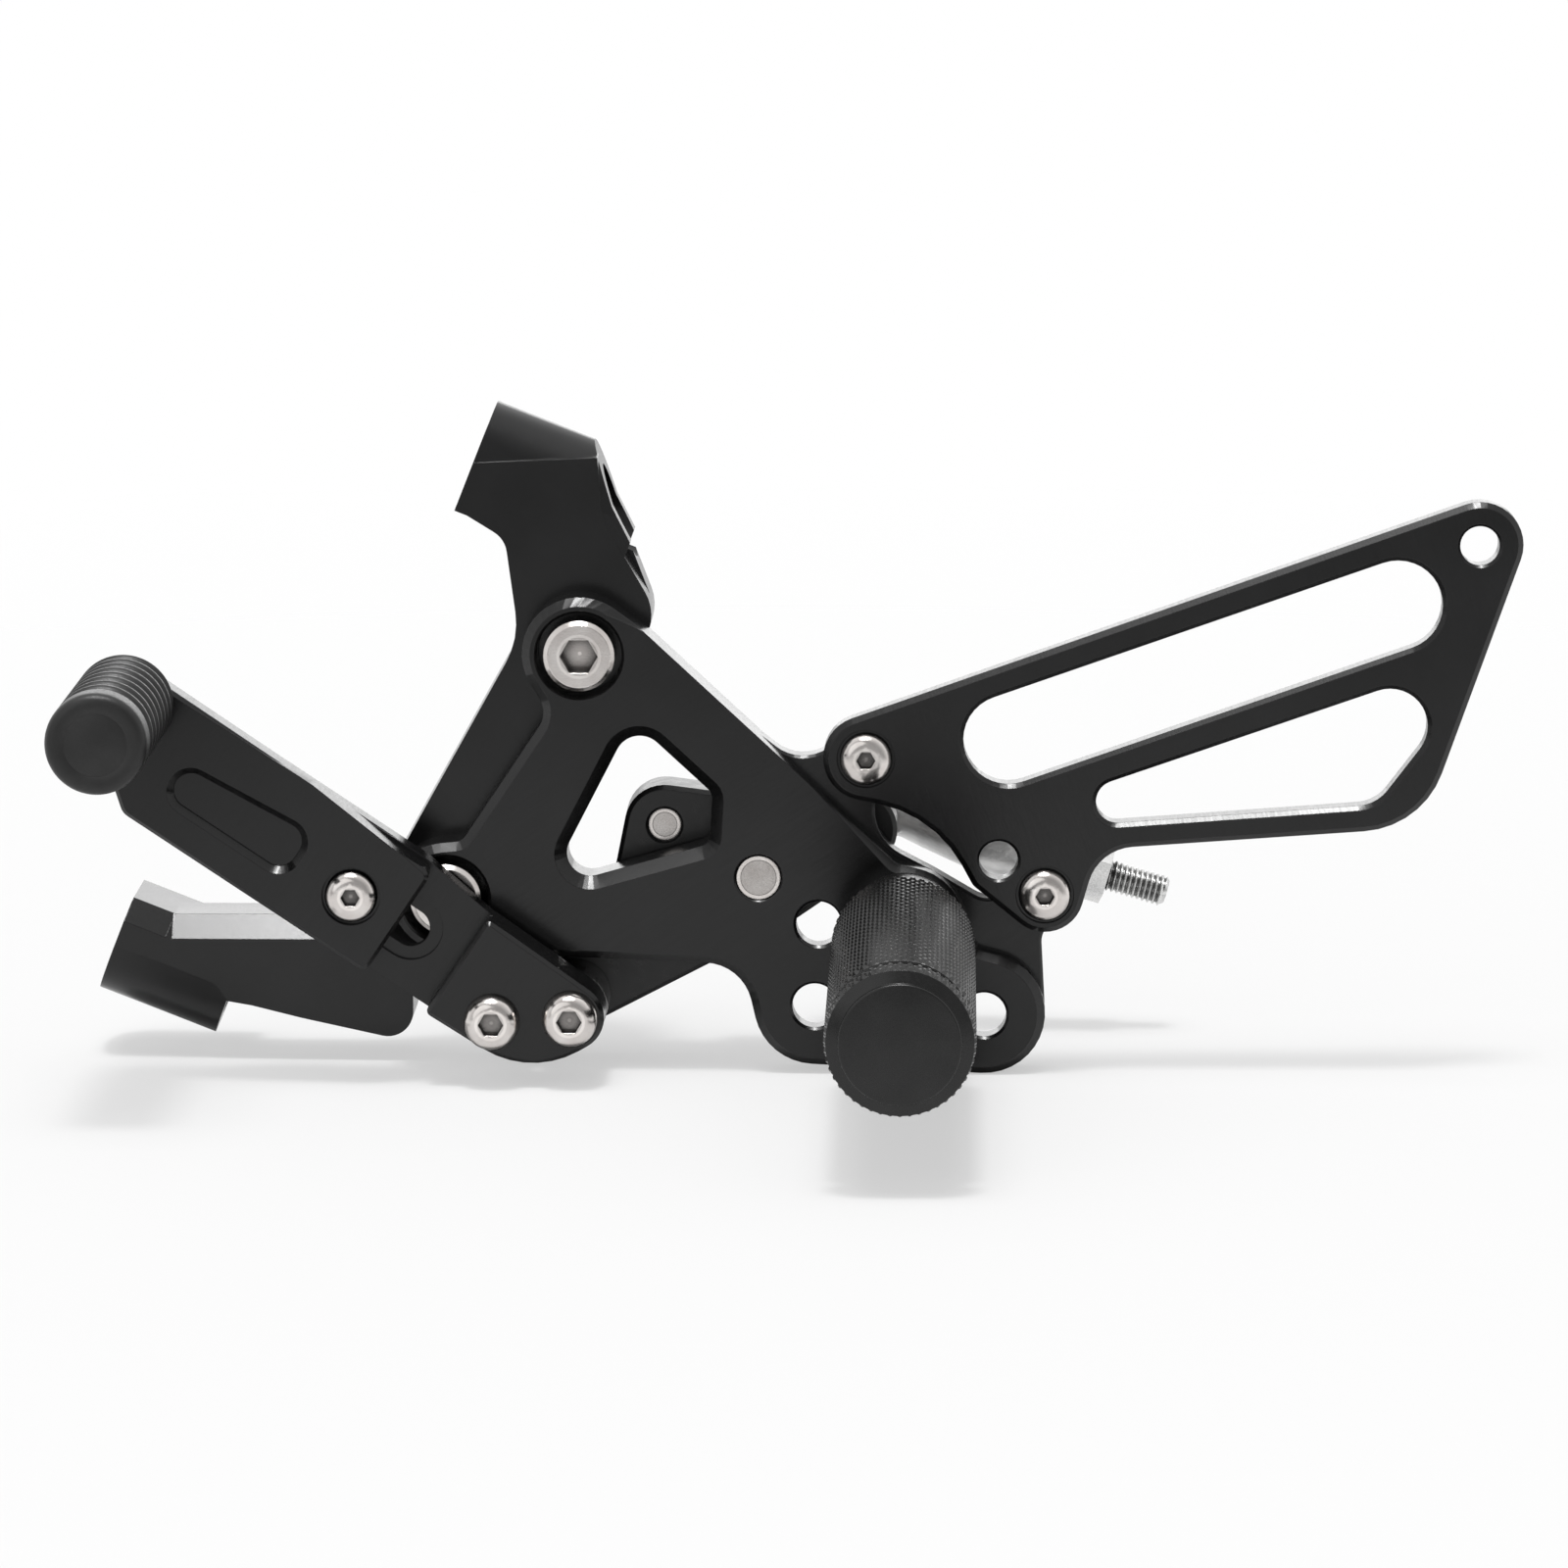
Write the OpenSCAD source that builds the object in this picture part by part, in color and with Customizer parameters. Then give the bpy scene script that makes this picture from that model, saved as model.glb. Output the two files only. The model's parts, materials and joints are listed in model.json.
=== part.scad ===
// Left-hand rearset footrest: main plate with foot peg, heel guard, frame bracket and shift lever.
// Drawn on a sheet whose zero is the upper bracket bolt: X towards the rear, Z up, Y inboard from
// the main plate's outer face. at_seat() then moves it to the centre of the upper frame seat.

/* [Main plate] */
// Full thickness of the main plate
plate_t = 9.5; // [8:0.5:12]
// How far the guard's ears lie behind the plate's outer face
ear_step = 4.5; // [3.5:0.5:5.5]
// Chamfer along the plate's outer edges
plate_chamfer = 1.5; // [0.8:0.1:2]
// Chamfer round the plate's window
window_chamfer = 2.2; // [1:0.1:2.8]
// Radius of the plate round the two bracket bolts
boss_r = 10.5; // [10:0.1:11.5]
// Radius of the plate's two lower lobes
lobe_r = 11.2; // [10.5:0.1:12]
// Bore of the foot peg positions
peg_hole_d = 8.2; // [8.1:0.1:8.6]
// Recess behind each foot peg position
peg_recess_d = 14.4; // [13.6:0.1:15]
// Depth of that recess
peg_recess_deep = 4.6; // [4:0.1:5.2]

/* [Frame bracket] */
// Depth of the bracket's web and lower arm
web_t = 14.5; // [12:0.5:17]
// Radius of the two frame lugs
lug_r = 10.75; // [10.2:0.05:11.5]
// Tilt of both frame bolts below the horizontal
lug_tilt = 21.5; // [18:0.5:25]
// Clearance bore for the frame bolts
frame_bore_d = 8.6; // [8.4:0.1:9]
// Counterbore for the frame bolt heads
frame_head_d = 13.8; // [13.4:0.1:14.4]
// Metal left under each frame bolt head
frame_land = 11; // [9:0.5:13]
// Chamfer along the top of the lower arm
arm_chamfer = 4; // [2:0.5:4.5]

/* [Heel guard] */
// Thickness of the heel guard
guard_t = 5; // [4:0.5:6]
// Chamfer along the guard's edges and slots
guard_chamfer = 1; // [0.5:0.1:1.4]
// Radius of the guard's outer corner
guard_tip_r = 7.9; // [7:0.1:9]

/* [Foot peg] */
// Diameter of the knurled foot peg
peg_d = 26; // [24:0.5:28]
// Length of the peg from its collar to its outer end
peg_length = 87; // [75:1:95]
// Length of the peg's end cap
peg_cap_length = 10; // [8:0.5:12]
// Depth of the knurling's grooves
knurl_deep = 0.5; // [0.3:0.1:0.8]
// Length of the collar between plate and peg
collar_length = 14.5; // [12:0.5:18]
// Diameter of that collar
collar_d = 21; // [18:0.5:22]

/* [Shift lever] */
// Thickness of the shift crank behind the plate
crank_t = 9.9; // [8:0.1:11]
// Reach from the pivot to each link boss
link_reach = 19.2; // [18.5:0.1:20.5]
// Diameter of the pivot's shoulder
shoulder_d = 10; // [9:0.5:11]
// Thickness of the lever base
base_t = 11; // [10:0.5:12]
// Thickness of the adjustable toe arm
toe_arm_t = 6; // [5:0.1:6.5]
// Diameter of the spacers between lever and crank
spacer_d = 12.6; // [12:0.1:12.8]
// Air between the lever and the plate's outer face
lever_air = 2.5; // [2.2:0.1:4]
// Length of the toe arm from its clamp screw to its toe peg
toe_reach = 53.3; // [50:0.5:58]
// Diameter of the rubber toe peg
toe_peg_d = 18; // [16:0.5:20]
// Length of the rubber toe peg
toe_peg_length = 45; // [38:1:50]
// Travel of the toe arm each way along its slot
toe_travel = 11; // [8:0.5:11.5]

/* [Link rod end] */
// Length of the spacer between crank and rod end
link_spacer_length = 15; // [12:0.5:18]
// Diameter of the rod end's eye
eye_d = 18.4; // [17.5:0.1:19]
// Diameter of the rod end's ball
ball_d = 12.7; // [12:0.1:13]
// Width of the ball
ball_w = 9; // [8:0.5:10]
// Reach from the ball to the rod end's open end
rod_end_length = 43.6; // [38:0.2:48]
// Free thread past the jam nut
stud_free = 11; // [8:0.5:16]
// Droop of the rod end towards the rear
link_droop = 16.3; // [10:0.1:20]

/* [Fasteners] */
// Radial gap between a thread and its hole
thread_gap = 0.05; // [0.03:0.01:0.1]
// Radial gap of the moving joints
running_gap = 0.04; // [0.02:0.01:0.08]
// Head diameter of the bracket bolts
cap_head_d = 13; // [12.5:0.1:13.5]
// Depth of the bracket bolts' counterbores in the plate
cap_sink = 6.5; // [6:0.1:7]

/* [Hidden] */
$fn = 48;

BLACK = [0.1, 0.1, 0.105];
STEEL = [0.75, 0.73, 0.71];
ZINC = [0.66, 0.66, 0.66];
RUBBER = [0.06, 0.06, 0.06];

// How far cutting shapes stand clear of what they cut, and how deep joined shapes run into each other
over = 0.2;
lap = 0.01;

// Screw sizes with their heads, sockets and nuts
m5 = 5;
m6 = 6;
m8 = 8;
m5_head_d = 9.6;
m5_head_h = 2.75;
m5_socket = 3;
m6_head_d = 10.2;
m6_head_h = 3.3;
m6_socket = 4;
cap_head_h = 8;
cap_socket = 6;
m6_cap_d = 10;
m6_cap_h = 6;
m6_nut_af = 10;
m6_washer_d = 12;
m6_washer_t = 1.2;

// Radial air round screws in plain holes and round their sunk heads
screw_air = 0.2;
head_air = 0.5;
cap_air = 1.25;
hole_chamfer = 0.5;
function hole(d) = d + 2 * screw_air;
function thread_hole(d) = d + 2 * thread_gap;

// Places on the sheet, as [x, z]
bolt_up = [0, 0];
bolt_low = [-24.6, -45.1];
pivot = [32.6, -41];
peg_at = [59.2, -50.4];
peg_holes = [[43.6, -49.5], peg_at, [42.9, -64.8], [58.4, -65.6], [73.9, -66.35]];
lobe_front = peg_holes[2];
lobe_rear = peg_holes[4];
ear_up = [52.2, -18.8];
ear_low = [84.9, -43.8];
seat_up = [-19.6, 34.2];
seat_low = [-86.6, -55.8];

// Layers along Y
lug_y = plate_t + lug_r;
web_back = plate_t + web_t;
lug_back = plate_t + 2 * lug_r;
washer_t = 1;
side_air = 0.1;
crank_y = plate_t + washer_t + side_air;
crank_back = crank_y + crank_t;
base_back = -lever_air;
base_front = base_back - base_t;
tongue_front = base_front + toe_arm_t;
toe_peg_y = base_front;
peg_back = -collar_length;
peg_front = peg_back - peg_length;
cap_back = peg_front + peg_cap_length;
ball_y = crank_back + link_spacer_length + ball_w / 2;
guard_front = ear_step - guard_t;

// Places that follow from the sizes
function toward(p, a, d) = [p[0] + d * cos(a), p[1] + d * sin(a)];
link_b = toward(pivot, 21.5, link_reach);
link_l = toward(pivot, 156, link_reach);
screw_front = [-15.5, -65.2];
screw_rear = [-1.3, -64.6];
clamp_at = [-40.9, -42.2];
lever_tilt = 33.8;
toe_peg_v = 6.8;
lug_length = 24;
low_lug_length = 23;
low_lug_rise = 8.7;

// Outlines are closed belts round discs. A disc is [x, z, radius]: the radius is negative where the
// belt passes on the inner side, and 0 for a plain point, where a chamfer runs out to nothing
// unless points is set.
function heading(p, q) =
    atan2(q[1] - p[1], q[0] - p[0]) - asin((q[2] - p[2]) / norm([q[0] - p[0], q[1] - p[1]]));
function fold(a) = a - 360 * floor(a / 360);
function turn(r, a) = r < 0 ? (fold(a) < 60 ? fold(a) : fold(a) - 360)
    : (fold(a) > 300 ? fold(a) - 360 : fold(a));
function steps(r, bend) = r == 0 ? 0 : max(2, ceil(abs(bend) / (abs(r) < 3 ? 22 : 10)));
function trimmed(disc, inset, points) =
    [disc[0], disc[1], disc[2] - (disc[2] == 0 && !points ? 0 : inset)];
function belt(discs, inset = 0, points = false) =
    let (n = len(discs), d = [for (disc = discs) trimmed(disc, inset, points)])
    [for (i = [0:n - 1])
        let (before = (i + n - 1) % n, after = (i + 1) % n, r = discs[i][2],
            from = heading(d[before], d[i]), bend = turn(r, heading(d[i], d[after]) - from),
            whole = heading(discs[i], discs[after]) - heading(discs[before], discs[i]),
            count = steps(r, turn(r, whole)))
        for (k = [0:count])
            let (a = count == 0 ? from : from + bend * k / count)
            [d[i][0] + d[i][2] * sin(a), d[i][1] - d[i][2] * cos(a)]];
// Least room between a boss and the hollow beside it
belt_air = 0.3;
// A hollow of radius r that leaves a disc of radius boss at angle a
function beside(p, boss, a, r) = concat(toward(p, a, boss + r + belt_air), [-r]);
function round_at(p, r) = [p[0], p[1], r];

module at_seat() {
    translate([-seat_up[0], -lug_y, -seat_up[1]]) children();
}

// Children stand on the plane Y = y and point outwards, towards the rider's boot
module facing(p, y) {
    translate([p[0], y, p[1]]) rotate([90, 0, 0]) children();
}

module slab(points, y0, y1) {
    facing([0, 0], y1) linear_extrude(y1 - y0) polygon(points);
}

// A ring that takes the edge off an outline's outer face: of the metal inside the belt with side 1,
// of the metal round it with side -1. Its section is a triangle that stands clear of both faces.
module edge_ring(discs, y, chamfer, side) {
    near = belt(discs, side * (chamfer + over));
    far = belt([for (disc = discs) [disc[0], disc[1], disc[2]]], -side * over, true);
    n = len(near);
    loops = concat([for (p = near) [p[0], y - over, p[1]]], [for (p = far) [p[0], y - over, p[1]]],
        [for (p = far) [p[0], y + chamfer + over, p[1]]]);
    faces = [for (i = [0:n - 1]) let (j = (i + 1) % n)
        each [[i, j, n + j, n + i], [n + i, n + j, 2 * n + j, 2 * n + i],
            [j, i, 2 * n + i, 2 * n + j]]];
    polyhedron(points = loops,
        faces = side > 0 ? faces : [for (f = faces) [f[3], f[2], f[1], f[0]]]);
}

// A plate whose outer face has a chamfered edge
module chamfered(discs, y0, y1, chamfer) {
    difference() {
        slab(belt(discs), y0, y1);
        edge_ring(discs, y0, chamfer, 1);
    }
}

// The cut for an opening whose outer edge is chamfered
module opening(discs, y0, y1, chamfer) {
    slab(belt(discs), y0 - over, y1 + over);
    edge_ring(discs, y0, chamfer, -1);
}

module bore(p, d, y0, y1) {
    facing(p, y1) cylinder(h = y1 - y0, d = d);
}

module countersink(p, d, chamfer, y) {
    facing(p, y + chamfer) cylinder(h = chamfer + over, d1 = d, d2 = d + 2 * (chamfer + over));
}

// Takes the outer edge off the straight side from p to q, walked with the metal on the left
module edge_cut(p, q, y, c) {
    along = q - p;
    translate([p[0], y, p[1]]) rotate([0, -atan2(along[1], along[0]), 0])
        translate([-over, 0, 0]) rotate([90, 0, 90]) linear_extrude(norm(along) + 2 * over)
            polygon([[-over, -over], [c + over, -over], [-over, c + over]]);
}

module hex_socket(af, deep, top) {
    translate([0, 0, top - deep]) cylinder(h = deep + over, d = af / cos(30), $fn = 6);
}

// A domed screw that stands at Z = 0 with its head up
module button_screw(d, head_d, head_h, socket, length) {
    flat_r = 0.55 * head_d / 2;
    difference() {
        union() {
            rotate_extrude() polygon(concat([[0, 0], [head_d / 2, 0], [head_d / 2, 0.12 * head_h]],
                [for (k = [1:5]) let (a = 90 * k / 5)
                    [flat_r + (head_d / 2 - flat_r) * cos(a), head_h * (0.12 + 0.88 * sin(a))]],
                [[0, head_h]]));
            translate([0, 0, -length]) cylinder(h = length + 0.01, d = d);
        }
        hex_socket(socket, 0.6 * head_h, head_h);
    }
}

// A cylinder head screw that stands at Z = 0 with its head up
module cap_screw(d, head_d, head_h, socket, length) {
    chamfer = 0.06 * head_d;
    difference() {
        union() {
            cylinder(h = head_h - chamfer, d = head_d);
            translate([0, 0, head_h - chamfer])
                cylinder(h = chamfer, d1 = head_d, d2 = head_d - 2 * chamfer);
            translate([0, 0, -length]) cylinder(h = length + 0.01, d = d);
        }
        hex_socket(socket, 0.5 * head_h, head_h);
    }
}

module tapped(p, d, y0, y1) {
    bore(p, thread_hole(d), y0, y1);
}

// Main plate: full depth up to the line from the upper boss to the foot peg, thinner past it
ear_r = 5.6;
peg_disc_r = 11.3;
edge_end = [40, -21.8];
front_discs = [
    round_at(bolt_up, boss_r), beside(bolt_up, boss_r, 222.5, 5),
    beside(bolt_low, boss_r - 0.4, 83, 2.5), round_at(bolt_low, boss_r - 0.4),
    beside(lobe_front, lobe_r, 183.4, 8.9), round_at(lobe_front, lobe_r),
    round_at(lobe_rear, lobe_r), beside(lobe_rear, lobe_r, 88, 2.5),
    round_at(peg_at, peg_disc_r), beside(peg_at, peg_disc_r, 90, 3),
    [edge_end[0], edge_end[1], 0], [11.8, 4.4, 0]];
ear_discs = [
    [20, -30, 0], round_at(lobe_front, 8), round_at(lobe_rear, lobe_r),
    beside(ear_low, ear_r + 0.4, -70, 4), round_at(ear_low, ear_r + 0.4),
    beside(ear_low, ear_r + 0.4, 165, 4.5), round_at(peg_at, peg_disc_r),
    beside(ear_up, ear_r, -45, 9), round_at(ear_up, ear_r), beside(ear_up, ear_r, 146.5, 8),
    [20, -5, 0]];
window_discs = [
    [10.9, -19.7, 4.6], [1.8, -36.8, 4.3], [21.5, -33.4, 2.2], [21.9, -26.6, 2.2]];

module main_plate() {
    color(BLACK) at_seat() difference() {
        union() {
            chamfered(front_discs, 0, plate_t, plate_chamfer);
            chamfered(ear_discs, ear_step, plate_t, hole_chamfer);
        }
        opening(window_discs, 0, plate_t, window_chamfer);
        for (p = [bolt_up, bolt_low]) {
            bore(p, cap_head_d + 2 * cap_air, -over, cap_sink);
            countersink(p, cap_head_d + 2 * cap_air, hole_chamfer, 0);
            bore(p, hole(m8), -over, plate_t + over);
        }
        for (p = peg_holes) {
            bore(p, peg_hole_d, -over, plate_t + over);
            bore(p, peg_recess_d, plate_t - peg_recess_deep, plate_t + over);
        }
        for (p = peg_holes) countersink(p, peg_hole_d, hole_chamfer, 0);
        tapped(pivot, m8, -over, plate_t + over);
        countersink(pivot, m8, hole_chamfer, 0);
        for (p = [ear_up, ear_low]) tapped(p, m5, ear_step - over, plate_t + over);
    }
}

// Frame bracket: web behind the plate, two tilted lugs and the lower arm
web_front_discs = [
    [-19.6, 34, 0], [-23, 25.6, 0], [-18.6, 17, -5], [-27, 4.5, -15], [-43.5, -45.7, -5],
    [-75.9, -50.7, 0], [-83.7, -48.3, 0], [-86.5, -55.9, 0], [-68, -63.2, 0], [-66, -66.4, 0],
    [-61.4, -67.2, 0], [-52.2, -69.5, 0], [-36.2, -68.2, 4.7], beside(bolt_low, 10.1, -97, 5),
    round_at(bolt_low, 10.1), [4.2, 6, 8.6], [15.5, 27.5, -12], [3, 35, 0]];
web_back_discs = concat([for (i = [0:15]) web_front_discs[i]], [[2.5, 34.5, 0]]);
lug_front_reach = 6.5;
lug_step = 0.06;
lug_side = [[-32, 36], [-20.5, 8], [12, 5], [12.7, 9], [12.3, 12.6], [5.6, 26], [1.8, 38], [-14, 48]];

module along_lug(seat) {
    translate([seat[0], lug_y, seat[1]]) rotate([0, lug_tilt, 0]) children();
}

// A bar round on one side and square on the other, from a seat: side -1 is square below the axis
function lug_section(side, rise) = let (r = lug_r - lug_step) concat(
    [for (k = [0:16]) let (a = 180 * k / 16) r * [side * sin(a), -cos(a)]],
    [[-side * rise, r], [-side * rise, -r]]);

function on_low_lug(t, rise) =
    seat_low + t * [cos(lug_tilt), -sin(lug_tilt)] + rise * [sin(lug_tilt), cos(lug_tilt)];

module lug_bar(seat, length, side, rise) {
    along_lug(seat) rotate([0, 90, 0]) linear_extrude(length) polygon(lug_section(side, rise));
}

module frame_bolt_cut(seat, length) {
    along_lug(seat) rotate([0, 90, 0]) {
        translate([0, 0, -over]) cylinder(h = length, d = frame_bore_d);
        translate([0, 0, frame_land]) cylinder(h = length, d = frame_head_d);
    }
}

module frame_bracket() {
    color(BLACK) at_seat() difference() {
        union() {
            slab(belt(web_front_discs), plate_t, plate_t + lug_front_reach);
            slab(belt(web_back_discs), plate_t + lug_front_reach - 0.01, web_back);
            intersection() {
                lug_bar(seat_up, lug_length + 8, -1, 9.7);
                slab(lug_side, plate_t - over, lug_back + over);
            }
            lug_bar(seat_low, low_lug_length, 1, low_lug_rise);
        }
        edge_cut([-43, -50.7], [-75.9, -50.7], plate_t, arm_chamfer);
        edge_cut(on_low_lug(8.1, low_lug_rise), on_low_lug(0, low_lug_rise), plate_t, arm_chamfer);
        frame_bolt_cut(seat_up, 60);
        frame_bolt_cut(seat_low, 45);
        for (p = [bolt_up, bolt_low]) tapped(p, m8, plate_t - over, web_back + over);
    }
}

bolt_short = 1.5;

module bracket_bolt(p) {
    color(STEEL) at_seat() facing(p, cap_sink)
        cap_screw(m8, cap_head_d, cap_head_h, cap_socket, web_back - cap_sink - bolt_short);
}

module bracket_bolt_upper() {
    bracket_bolt(bolt_up);
}

module bracket_bolt_lower() {
    bracket_bolt(bolt_low);
}

// Heel guard, screwed to the ears
guard_tip = [163.1, 20.7];
guard_discs = [
    round_at(ear_up, 7.8), [50.1, -49.1, -22.3], [74, -40.5, 2.8], round_at(ear_low, 7.1),
    [101.5, -43.9, -8.9], [141.8, -16, 16], round_at(guard_tip, guard_tip_r)];
slot_upper = [[78.1, -15.2, 8.2], [148.4, 9.7, 8.2]];
slot_lower = [[98, -26.6, 3.9], [141.3, -20, 7.2], [147.3, -12.5, 6.9]];
guard_hole_d = 7.1;
guard_holes = [[76.4, -37.5], guard_tip];
guard_head_sink = 0.6;

module heel_guard() {
    color(BLACK) at_seat() difference() {
        chamfered(guard_discs, guard_front, ear_step, guard_chamfer);
        opening(slot_upper, guard_front, ear_step, 0.8 * guard_chamfer);
        opening(slot_lower, guard_front, ear_step, 0.8 * guard_chamfer);
        for (p = guard_holes) {
            bore(p, guard_hole_d, guard_front - over, ear_step + over);
            countersink(p, guard_hole_d, hole_chamfer, guard_front);
        }
        for (p = [ear_up, ear_low]) {
            bore(p, hole(m5), guard_front - over, ear_step + over);
            bore(p, m5_head_d + 2 * head_air, guard_front - over, guard_front + guard_head_sink);
        }
    }
}

module guard_screw(p) {
    color(STEEL) at_seat() facing(p, guard_front + guard_head_sink)
        button_screw(m5, m5_head_d, m5_head_h, m5_socket, plate_t - guard_front - 1);
}

module guard_screw_upper() {
    guard_screw(ear_up);
}

module guard_screw_lower() {
    guard_screw(ear_low);
}

// Foot peg
peg_spigot_d = 14;
peg_spigot_length = 12;
peg_thread_length = 24;
peg_edge = 1.2;
peg_groove = 0.7;
peg_rim_length = 0.73 * peg_cap_length;
peg_cone = 2.3;
peg_dish = 3;
peg_dish_deep = 0.3;

// The knurling's main relief: pointed diamonds between crossing grooves, in rows round the peg
knurl_around = 16;
knurl_pitch = 5.2;
module knurled_bar(length, edge) {
    n = knurl_around;
    rows = 2 * floor((length - edge) / knurl_pitch);
    rise = (length - edge) / rows;
    function about(r, k, z) = [r * cos(360 * k / n), r * sin(360 * k / n), z];
    low = peg_d / 2 - knurl_deep;
    grooves = [for (j = [0:rows]) for (i = [0:n - 1]) about(low, i + (j % 2) / 2, edge + j * rise)];
    peaks = [for (j = [1:rows - 1]) for (i = [0:n - 1])
        about(peg_d / 2, i + 0.5 + (j % 2) / 2, edge + j * rise)];
    back_ring = [for (i = [0:n - 1]) about(peg_d / 2 - edge - knurl_deep, i, 0)];
    first_peak = n * (rows + 1);
    first_back = first_peak + n * (rows - 1);
    function at(i, j) = j * n + (i % n);
    diamonds = [for (j = [1:rows - 1]) for (i = [0:n - 1])
        let (s = j % 2, c = first_peak + (j - 1) * n + i,
            loop = [at(i, j), at(i + s, j + 1), at(i + 1, j), at(i + s, j - 1)])
        for (k = [0:3]) [loop[k], loop[(k + 1) % 4], c]];
    ends = [for (i = [0:n - 1]) each [[at(i, 0), at(i, 1), at(i + 1, 0)],
        [at(i, rows), at(i + 1, rows), at(i, rows - 1)]]];
    skirt = [for (i = [0:n - 1]) [first_back + i, at(i, 0), at(i + 1, 0), first_back + (i + 1) % n]];
    polyhedron(points = concat(grooves, peaks, back_ring), faces = concat(diamonds, ends, skirt,
        [[for (i = [0:n - 1]) first_back + i], [for (i = [n - 1:-1:0]) at(i, rows)]]));
}

module peg_body() {
    color(BLACK) at_seat() difference() {
        facing(peg_at, peg_back) knurled_bar(peg_back - cap_back, peg_edge);
        bore(peg_at, thread_hole(m8), peg_back - peg_thread_length, peg_back + over);
        bore(peg_at, thread_hole(peg_spigot_d), cap_back - over, cap_back + peg_spigot_length + screw_air);
    }
}

module peg_end_cap() {
    color(BLACK) at_seat() difference() {
        union() {
            facing(peg_at, cap_back) {
                cylinder(h = peg_groove, d = peg_d - 2 * peg_groove);
                translate([0, 0, peg_groove]) cylinder(h = peg_rim_length - peg_groove, d = peg_d);
                translate([0, 0, peg_rim_length]) cylinder(h = peg_cap_length - peg_rim_length,
                    d1 = peg_d, d2 = peg_d - 2 * peg_cone);
            }
            bore(peg_at, peg_spigot_d, cap_back - over, cap_back + peg_spigot_length);
        }
        bore(peg_at, peg_d - 2 * peg_dish, peg_front - over, peg_front + peg_dish_deep);
    }
}

module peg_collar() {
    color(BLACK) at_seat() difference() {
        bore(peg_at, collar_d, -collar_length, 0);
        bore(peg_at, hole(m8), -collar_length - over, over);
    }
}

module peg_bolt() {
    socket = 5;
    length = plate_t - peg_recess_deep + collar_length + peg_thread_length - 4;
    color(STEEL) at_seat() translate([peg_at[0], plate_t - peg_recess_deep, peg_at[1]])
        rotate([-90, 0, 0])
            cap_screw(m8, peg_recess_d - 2 * head_air, peg_recess_deep - screw_air, socket, length);
}

// Shift crank behind the plate, with two link bosses and the lever's bar
hub_r = 11.8;
link_r = 7.4;
bar_r = 6.6;
bush_wall = 1.5;
crank_chamfer = 0.8;
washer_d = 18;
pivot_head_d = 16;
pivot_head_h = 4.5;
pivot_socket = 6;
bush_d = shoulder_d + 2 * (running_gap + bush_wall);
crank_discs = [
    round_at(link_l, link_r), [-2.5, -42.5, -8], round_at(screw_front, bar_r),
    round_at(screw_rear, bar_r), round_at(pivot, hub_r), round_at(link_b, link_r),
    [33.5, -16.5, -11.5]];

module shift_crank() {
    color(BLACK) at_seat() difference() {
        chamfered(crank_discs, crank_y, crank_back, crank_chamfer);
        bore(pivot, bush_d, crank_y - over, crank_back + over);
        for (p = [link_l, link_b, screw_front, screw_rear])
            tapped(p, m6, crank_y - over, crank_back + over);
        for (p = [link_l, link_b]) countersink(p, m6, hole_chamfer, crank_y);
    }
}

module pivot_washer(y) {
    color(STEEL) at_seat() difference() {
        bore(pivot, washer_d, y, y + washer_t);
        bore(pivot, hole(shoulder_d), y - over, y + washer_t + over);
    }
}

module pivot_washer_outer() {
    pivot_washer(plate_t);
}

module pivot_washer_inner() {
    pivot_washer(crank_back + side_air);
}

module pivot_bush() {
    color([0.72, 0.55, 0.3]) at_seat() difference() {
        bore(pivot, bush_d, crank_y, crank_back);
        bore(pivot, shoulder_d + 2 * running_gap, crank_y - over, crank_back + over);
    }
}

// Shoulder screw put in from the inboard side, its thread ending flush with the plate
module pivot_bolt() {
    head_y = crank_back + side_air + washer_t;
    color(STEEL) at_seat() difference() {
        union() {
            bore(pivot, m8, screw_air, plate_t + lap);
            bore(pivot, shoulder_d, plate_t, head_y);
            bore(pivot, pivot_head_d, head_y, head_y + pivot_head_h);
        }
        bore(pivot, pivot_socket / cos(30), head_y + pivot_head_h / 3, head_y + pivot_head_h + over,
            $fn = 6);
    }
}

// Lever pieces are drawn along the lever: u away from the toe peg, v across it
module along_lever() {
    translate([clamp_at[0], 0, clamp_at[1]]) rotate([0, lever_tilt, 0]) children();
}
function on_lever(u, v) = [
    clamp_at[0] + u * cos(lever_tilt) + v * sin(lever_tilt),
    clamp_at[1] - u * sin(lever_tilt) + v * cos(lever_tilt)];

slot_r = 3.45;
slot_half = toe_travel + 1.5;
nut_flange_r = 5;
nut_flange_t = 1.7;
nut_air = 0.3;
slot_step = 2.4;
slot_step_deep = 0.8;
tongue_chamfer = 0.5;
base_chamfer = 0.7;
tongue_end = slot_half + 11;
tongue_discs = [
    [-tongue_end, -8.6, 1.8], [24, -10.3, 0], [24, 10.2, 0], [8, 12.4, 0], [-tongue_end, 10.6, 1.8]];
base_discs = [[24, -9.4, 1.1], [35, 6.6, 16.8], [45.3, 3.5, 6.2], [24, 9.2, 1.1]];

module lever_base() {
    color(BLACK) at_seat() difference() {
        along_lever() difference() {
            union() {
                chamfered(tongue_discs, tongue_front, base_back, tongue_chamfer);
                chamfered(base_discs, base_front, base_back, base_chamfer);
            }
            slab(stadium(slot_half, slot_r), tongue_front - over, base_back + over);
            slab(stadium(slot_half, slot_r + slot_step), tongue_front - over, tongue_front + slot_step_deep);
            slab(stadium(slot_half, nut_flange_r + nut_air), base_back - nut_flange_t, base_back + over);
        }
        for (p = [screw_front, screw_rear]) bore(p, hole(m6), base_front - over, base_back + over);
    }
}
function stadium(half, r) = belt([[-half, 0, r], [half, 0, r]]);

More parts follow.
